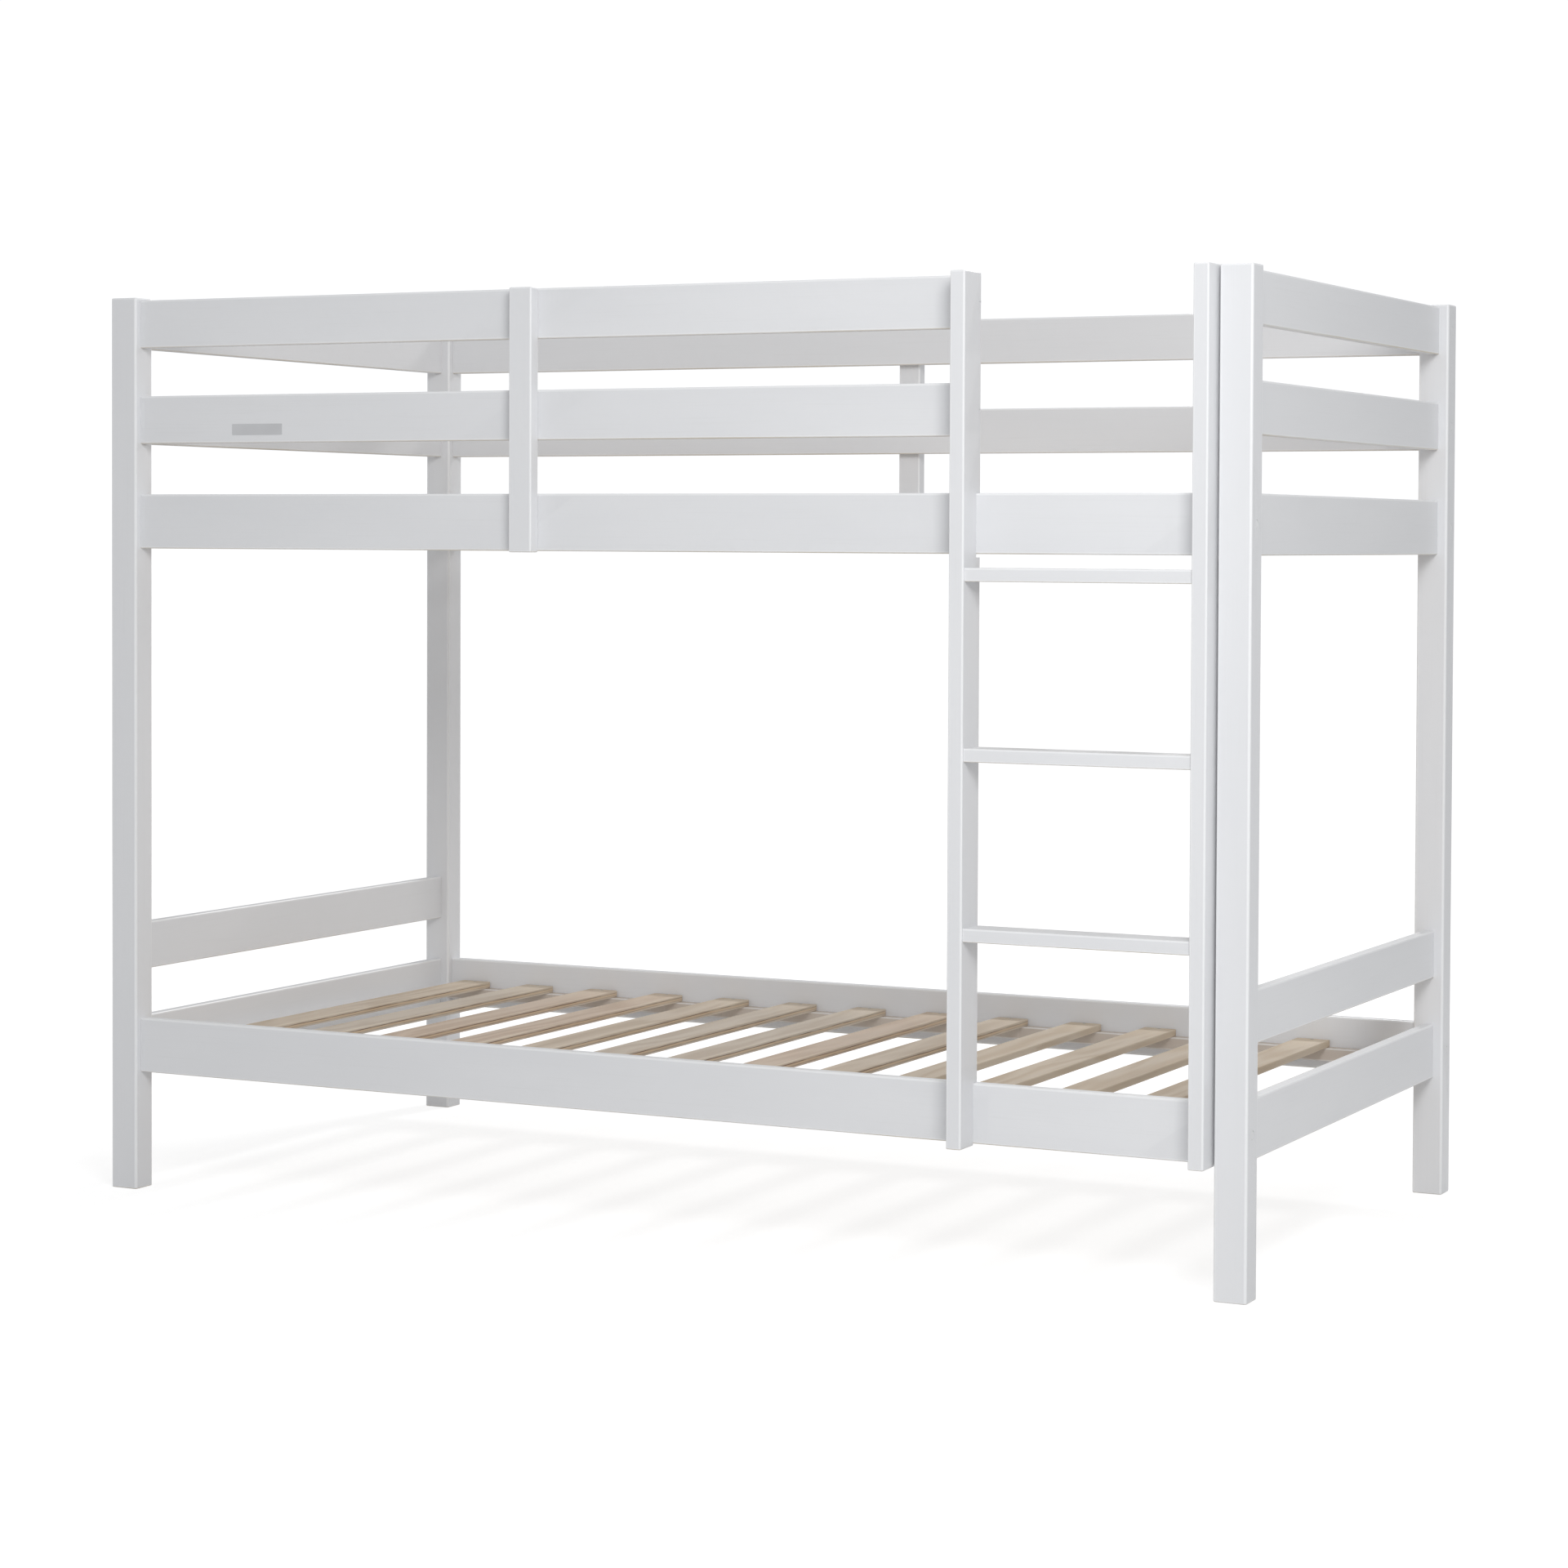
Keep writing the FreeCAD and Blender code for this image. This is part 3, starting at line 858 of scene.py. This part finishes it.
@dataclass
class Frame:
    """The four posts and every rail between them."""

    finishes: Finishes
    post_arris: float = 3.0 * MM
    post_ease: float = 2.2 * MM
    rail_arris: float = 2.5 * MM
    cover_hole: float = 6.6 * MM
    cover_depth: float = 6.0 * MM
    cover_radius: float = 6.35 * MM
    cover_rim: float = 0.5 * MM
    cover_sink: float = 0.15 * MM
    cover_eye: float = 0.4 * MM
    cover_sides: int = 40
    screws: RailScrews = RailScrews()

    def long_rails(self) -> list:
        """Lists the rails that run along the bed.

        Returns:
            The rails.
        """
        names = [f"{bunk}_{side}_side_rail" for bunk in ("lower", "upper") for side in SIDES]
        names += [f"{side}_{level}_guard_rail" for side in SIDES for level in ("middle", "top")]
        return [LongRail(name) for name in names]

    def end_rails(self) -> list:
        """Lists the rails across the bed.

        Returns:
            Their nodes.
        """
        names = ["head_rail", "foot_rail"]
        for end in ("left", "right"):
            names += [f"{bunk}_{end}_end_rail" for bunk in ("lower", "upper")]
            names += [f"{end}_{level}_guard_rail" for level in ("middle", "top")]
        return names

    def build(self) -> None:
        """Makes the posts, the rails and the bolt covers."""
        seats = self.cover_seats()
        for number, (node, spots) in enumerate(seats.items()):
            low, high = Piece.box(node)
            outline = ((-0.5 * MM, self.cover_hole), (self.cover_depth, self.cover_hole))
            cuts = [Cut(spot, way, outline) for spot, way in spots]
            board = Board(low, high, Run.UPRIGHT, self.post_arris, self.post_ease,
                          steps=6, seed=number)
            board.make(f"{node}_lacquered", self.finishes.lacquer, "white_lacquer", [node], cuts)
        for number, rail in enumerate(self.long_rails()):
            low, high = Piece.box(rail.node)
            cuts = rail.nut_holes() + self.screws.holes(rail.node)
            board = Board(low, high, Run.ALONG, self.rail_arris, seed=20 + number)
            board.make(f"{rail.node}_lacquered", self.finishes.lacquer, "white_lacquer",
                       [rail.node], cuts)
        for number, node in enumerate(self.end_rails()):
            low, high = Piece.box(node)
            board = Board(low, high, Run.ACROSS, self.rail_arris, seed=40 + number)
            board.make(f"{node}_lacquered", self.finishes.lacquer, "white_lacquer", [node])
        self.covers([spot for spots in seats.values() for spot in spots])

    def cover_seats(self) -> dict:
        """Finds where the bolts go in.

        Returns:
            By post, the (point on the outer face, way in) of each bolt.
        """
        seats = {f"post_{side}_{end}": [] for side in SIDES for end in ("left", "right")}
        for rail in self.long_rails():
            low, high = Piece.box(rail.node)
            middle = (low + high) / 2
            side = "front" if middle.y < 0 else "rear"
            for _, way in rail.ends():
                post = f"post_{side}_{'left' if way > 0 else 'right'}"
                face = Piece.box(post)[0 if way > 0 else 1].x
                seats[post].append((Vector((face, middle.y, middle.z)), Vector((way, 0, 0))))
        return seats

    def covers(self, seats: Sequence[tuple]) -> None:
        """Presses a round cover into each bolt hole, a hair below the post's face.

        Args:
            seats: (point on the post's outer face, way in) of each.
        """
        work = bmesh.new()
        rim, radius = self.cover_rim, self.cover_radius
        top = self.cover_sink
        outline = [(top, self.cover_eye), (top, radius - rim - 0.8 * MM), (top, radius - rim)]
        turns = 4
        for step in range(1, turns + 1):
            angle = math.radians(90 / turns * step)
            outline.append((top + rim * (1 - math.cos(angle)),
                            radius - rim + rim * math.sin(angle)))
        outline += [(top + 1.0 * MM, radius), (top + 1.8 * MM, radius - 0.2 * MM)]
        for spot, way in seats:
            Cut(spot, way, outline).mesh(work, self.cover_sides)
        piece = Piece.put("bolt_covers_moulded", Piece.skin("covers", work))
        Piece.dress(piece, self.finishes.cover, "white_plastic", ["bolt_covers"])


@dataclass
class Battens:
    """The upright boards that tie the guard rails together."""

    finishes: Finishes
    arris: float = 2.0 * MM
    ease: float = 2.0 * MM
    screws: RailScrews = RailScrews()

    def build(self) -> None:
        """Makes the front and the rear batten, the rear one with its countersunk holes."""
        for number, side in enumerate(SIDES):
            node = f"{side}_guard_batten"
            low, high = Piece.box(node)
            cuts = []
            if side == "rear":
                for rail in ("upper_rear_side_rail", "rear_middle_guard_rail",
                             "rear_top_guard_rail"):
                    cuts += self.screws.holes(rail)
            board = Board(low, high, Run.UPRIGHT, self.arris, self.ease, seed=60 + number)
            board.make(f"{node}_lacquered", self.finishes.lacquer, "white_lacquer", [node], cuts)


@dataclass
class Sticker:
    """A plain, blank sticker on the front middle guard rail."""

    from_rail_end: float = 184 * MM
    above_rail: float = 12.5 * MM
    length: float = 98 * MM
    height: float = 18 * MM
    thick: float = 0.25 * MM
    corner: float = 1.5 * MM
    corner_steps: int = 6
    pale: tuple = (0.60, 0.605, 0.62, 1.0)
    deep: tuple = (0.56, 0.565, 0.58, 1.0)

    def build(self) -> None:
        """Cuts the sticker with rounded corners and lays it on the rail's front face."""
        low, _ = Piece.box("front_middle_guard_rail")
        left, foot = low.x + self.from_rail_end, low.z + self.above_rail
        work = bmesh.new()
        rim = []
        for quarter, (right, top) in enumerate(((1, 1), (0, 1), (0, 0), (1, 0))):
            x = left + self.corner + right * (self.length - 2 * self.corner)
            z = foot + self.corner + top * (self.height - 2 * self.corner)
            for step in range(self.corner_steps + 1):
                angle = math.radians(90 * quarter + 90 / self.corner_steps * step)
                spot = Vector((x + self.corner * math.cos(angle), low.y,
                               z + self.corner * math.sin(angle)))
                rim.append(work.verts.new(spot))
        face = work.faces.new(rim)
        raised = bmesh.ops.extrude_face_region(work, geom=[face])["geom"]
        for vert in (v for v in raised if isinstance(v, bmesh.types.BMVert)):
            vert.co.y -= self.thick
        piece = Piece.put("blank_sticker", Piece.skin("sticker", work))
        paper = Moulded("blank_sticker_paper", self.pale, self.deep)
        Piece.dress(piece, paper.material(), "white_plastic", [])


@dataclass
class Ladder:
    """The two notched stiles and the rungs between them."""

    finishes: Finishes
    arris: float = 2.0 * MM
    rung_ease: float = 0.4 * MM
    notch_below: float = 5 * MM
    guard_screw: ScrewSize = ScrewSize(2.25 * MM, 60 * MM)
    rungs: int = 3

    def build(self) -> None:
        """Makes the stiles and the rungs."""
        for number, hand in enumerate(("left", "right")):
            node = f"ladder_{hand}_stile"
            low, high = Piece.box(node)
            cuts = self.notches(low, high)
            if hand == "left":
                cuts += self.guard_holes(high.x)
            board = Board(low, high, Run.UPRIGHT, self.arris, self.arris, seed=70 + number)
            board.make(f"{node}_lacquered", self.finishes.lacquer, "white_lacquer", [node], cuts)
        for number in range(1, self.rungs + 1):
            node = f"ladder_rung_{number}"
            low, high = Piece.box(node)
            board = Board(low, high, Run.ALONG, self.arris, self.rung_ease, seed=75 + number)
            board.make(f"{node}_lacquered", self.finishes.lacquer, "white_lacquer", [node])

    def notches(self, low: Vector, high: Vector) -> list:
        """What is sawn out where a stile passes the two front side rails.

        Args:
            low: The stile's low corner.
            high: The stile's high corner.

        Returns:
            The two notches.
        """
        spare = 5 * MM
        cuts = []
        for bunk, bottom in (("lower", low.z - spare), ("upper", None)):
            r_low, r_high = Piece.box(f"{bunk}_front_side_rail")
            start = bottom if bottom is not None else r_low.z - self.notch_below
            cuts.append(Notch(Vector((low.x - spare, r_low.y, start)),
                              Vector((high.x + spare, high.y + spare, r_high.z))))
        return cuts

    def guard_holes(self, inner: float) -> list:
        """Places the screw holes through the left stile into the guard rails' ends.

        Args:
            inner: The X of the stile's face towards the ladder.

        Returns:
            The cuts.
        """
        cuts = []
        for level in ("middle", "top"):
            low, high = Piece.box(f"front_{level}_guard_rail")
            middle = (low + high) / 2
            spot = Vector((inner, middle.y, middle.z))
            cuts.append(self.guard_screw.hole(spot, Vector((-1, 0, 0))))
        return cuts


PLYWOODS = (
    SlatWood("birch_plywood", Stock.PLYWOOD),
    SlatWood("birch_plywood_rosy", Stock.PLYWOOD, (0.592, 0.476, 0.380, 1.0),
             (0.470, 0.352, 0.262, 1.0)),
    SlatWood("birch_plywood_grey", Stock.PLYWOOD, (0.566, 0.495, 0.414, 1.0),
             (0.457, 0.375, 0.294, 1.0)),
)
PINE = SlatWood("pine", Stock.PINE, (0.600, 0.505, 0.395, 1.0), (0.490, 0.375, 0.255, 1.0))


@dataclass
class SlatBase:
    """One bunk's two bearers and its slats."""

    bunk: str
    finishes: Finishes
    count: int = 14
    slat_arris: float = 1.6 * MM
    slat_ease: float = 2.0 * MM
    bearer_arris: float = 1.5 * MM
    bearer_ease: float = 1.0 * MM
    slat_steps: int = 4
    slat_wander: float = 0.35
    bearer_screw: ScrewSize = ScrewSize(2.0 * MM, 32 * MM)
    slat_screw: ScrewSize = ScrewSize(1.75 * MM, 28 * MM)
    pine_slats: tuple = (9, 10, 11, 12)

    def slat_boxes(self) -> list:
        """Finds the slats: the upper ones stand over the lower ones.

        Returns:
            The low and high corner of each.
        """
        boxes = [Piece.box(f"lower_slat_{i + 1:02d}") for i in range(self.count)]
        if self.bunk == "upper":
            rise = Vector((0, 0, Piece.box("upper_slats")[0].z - boxes[0][0].z))
            boxes = [(low + rise, high + rise) for low, high in boxes]
        return boxes

    def woods(self) -> list:
        """Picks the wood of each slat: plywood, with four pine ones in the lower bunk.

        Returns:
            The material of each.
        """
        made = [wood.material() for wood in PLYWOODS]
        order = [made[(i * 5 + i // 3) % len(made)] for i in range(self.count)]
        if self.bunk == "lower":
            pine = PINE.material()
            for index in self.pine_slats:
                order[index] = pine
        return order

    def build(self) -> None:
        """Makes the bearers and the slats."""
        boxes = self.slat_boxes()
        bearers = {side: Piece.box(f"{self.bunk}_{side}_bearer") for side in SIDES}
        for number, (side, (low, high)) in enumerate(bearers.items()):
            inner, way = (high.y, Vector((0, -1, 0))) if side == "front" else (
                low.y, Vector((0, 1, 0)))
            cuts = []
            for index in range(0, self.count - 1, 2):
                gap = (boxes[index][1].x + boxes[index + 1][0].x) / 2
                spot = Vector((gap, inner, (low.z + high.z) / 2))
                cuts.append(self.bearer_screw.hole(spot, way))
            board = Board(low, high, Run.ALONG, self.bearer_arris, self.bearer_ease,
                          seed=80 + number)
            node = f"{self.bunk}_{side}_bearer"
            board.make(f"{node}_primed", self.finishes.primer, "white_lacquer", [node], cuts)
        for index, ((low, high), wood) in enumerate(zip(boxes, self.woods())):
            cuts = []
            for b_low, b_high in bearers.values():
                spot = Vector(((low.x + high.x) / 2, (b_low.y + b_high.y) / 2, high.z))
                cuts.append(self.slat_screw.hole(spot, Vector((0, 0, -1))))
            node = f"lower_slat_{index + 1:02d}" if self.bunk == "lower" else "upper_slats"
            seed = 100 + index + (50 if self.bunk == "upper" else 0)
            board = Board(low, high, Run.ACROSS, self.slat_arris, self.slat_ease,
                          self.slat_steps, self.slat_wander, seed)
            board.make(f"{self.bunk}_slat_{index + 1:02d}_planed", wood, "slat_wood", [node],
                       cuts)


@dataclass
class Fixings:
    """The bolts, nuts, screws and dowels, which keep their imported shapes."""

    finishes: Finishes
    steel: tuple = ("rail_bolts", "barrel_nuts", "ladder_screws", "batten_screws",
                    "bearer_screws", "slat_screws")
    painted: tuple = ("guard_end_screws",)
    wooden: tuple = ("side_dowels", "end_dowels", "rung_dowels")

    def build(self) -> None:
        """Gives each fixing its finish."""
        for names, material in ((self.steel, self.finishes.zinc),
                                (self.painted, self.finishes.lacquer),
                                (self.wooden, self.finishes.beech)):
            for name in names:
                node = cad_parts[name]
                for slot in node.material_slots:
                    slot.link = "OBJECT"
                    slot.material = material
                log.info("finished %s", name)


@dataclass(frozen=True)
class Lamp:
    """A square soft light: where it hangs, the point it faces, its side and its watts."""

    name: str
    at: tuple
    aim: tuple
    size: float
    power: float

    def hang(self) -> None:
        """Hangs the light."""
        data = bpy.data.lights.new(self.name, "AREA")
        data.size, data.energy = self.size, self.power
        lamp = bpy.data.objects.new(self.name, data)
        lamp.location = self.at
        way = Vector(self.aim) - Vector(self.at)
        lamp.rotation_euler = way.to_track_quat("-Z", "Y").to_euler()
        bpy.context.scene.collection.objects.link(lamp)


@dataclass
class Studio:
    """The floor, the lights and the camera."""

    lamps: tuple = (Lamp("key", (2.3, -3.0, 2.55), (0.35, -0.2, 0.75), 1.3, 63.0),
                    Lamp("back", (-0.35, 3.2, 3.1), (0.0, 0.0, 0.2), 0.5, 46.0))
    floor_half: float = 40.0
    floor_tone: tuple = (0.80, 0.80, 0.80, 1.0)
    floor_roughness: float = 0.9
    floor_gloss: float = 0.1
    glow_near: float = 1.1
    glow_far: float = 3.2
    glow_low: float = 1.39
    glow_high: float = 1.54
    glow_share: float = 0.55
    sky_tint: tuple = (0.985, 0.992, 1.0, 1.0)
    sky_light: float = 0.55
    sky_seen: float = 1.05
    sensor: float = 36.0
    reach: float = 200.0
    lens: float = 80.43
    eye: tuple = (2.6823, -5.1200, 1.0772)
    heading: float = 25.591
    dip: float = 1.428
    lean: float = 0.279
    shift: tuple = (-0.078125, -0.1)

    def build(self) -> None:
        """Sets up the whole studio."""
        self.floor()
        self.sky()
        for lamp in self.lamps:
            lamp.hang()
        self.camera()

    def floor(self) -> None:
        """Lays the pale floor, with shadows lightened as on a lit sweep."""
        work = bmesh.new()
        bmesh.ops.create_grid(work, x_segments=8, y_segments=8, size=self.floor_half)
        mesh = bpy.data.meshes.new("floor")
        work.to_mesh(mesh)
        work.free()
        piece = Piece.put("studio_floor", mesh)
        g = Graph("pale_floor")
        g.surface("Base Color", self.floor_tone)
        g.surface("Roughness", self.floor_roughness)
        g.surface("Specular IOR Level", self.floor_gloss)
        glow = g.spread(g.length(g.own()), self.glow_near, self.glow_far, self.glow_low,
                        self.glow_high)
        lit = g.add("ShaderNodeEmission", {"Color": (1.0, 1.0, 1.0, 1.0), "Strength": glow})
        seen = g.add("ShaderNodeLightPath").outputs["Is Camera Ray"]
        share = g.maths("MULTIPLY", seen, self.glow_share)
        both = g.add("ShaderNodeMixShader",
                     {0: share, 1: g.shader.outputs[0], 2: lit.outputs[0]})
        g.feed(g.tree.nodes["Material Output"].inputs["Surface"], both.outputs[0])
        mesh.materials.append(g.material)

    def sky(self) -> None:
        """A plain white surround that lights the bed softly from all round."""
        world = bpy.data.worlds.new("studio")
        bpy.context.scene.world = world
        world.use_nodes = True
        tree = world.node_tree
        glow = tree.nodes["Background"]
        path = tree.nodes.new("ShaderNodeLightPath")
        strength = tree.nodes.new("ShaderNodeMapRange")
        strength.inputs["To Min"].default_value = self.sky_light
        strength.inputs["To Max"].default_value = self.sky_seen
        tree.links.new(path.outputs["Is Camera Ray"], strength.inputs["Value"])
        tree.links.new(strength.outputs["Result"], glow.inputs["Strength"])
        glow.inputs["Color"].default_value = self.sky_tint

    def camera(self) -> None:
        """Stands the camera to the right of the ladder end, looking back along the bed."""
        data = bpy.data.cameras.new("camera")
        data.sensor_width, data.lens = self.sensor, self.lens
        data.shift_x, data.shift_y = self.shift
        data.clip_end = self.reach
        camera = bpy.data.objects.new("camera", data)
        turn = (Matrix.Rotation(math.radians(self.heading), 4, "Z")
                @ Matrix.Rotation(math.radians(90 - self.dip), 4, "X")
                @ Matrix.Rotation(math.radians(self.lean), 4, "Z"))
        camera.matrix_world = Matrix.Translation(self.eye) @ turn
        bpy.context.scene.collection.objects.link(camera)
        bpy.context.scene.camera = camera
        bpy.context.scene.view_settings.view_transform = "Standard"


def main() -> None:
    """Builds the bed, then the studio."""
    logging.basicConfig(level=logging.INFO, format="%(name)s: %(message)s")
    finishes = Finishes.mix()
    Frame(finishes).build()
    Battens(finishes).build()
    Sticker().build()
    Ladder(finishes).build()
    for bunk in ("lower", "upper"):
        SlatBase(bunk, finishes).build()
    Fixings(finishes).build()
    Studio().build()
    bpy.context.view_layer.update()


if __name__ == "__main__":
    main()
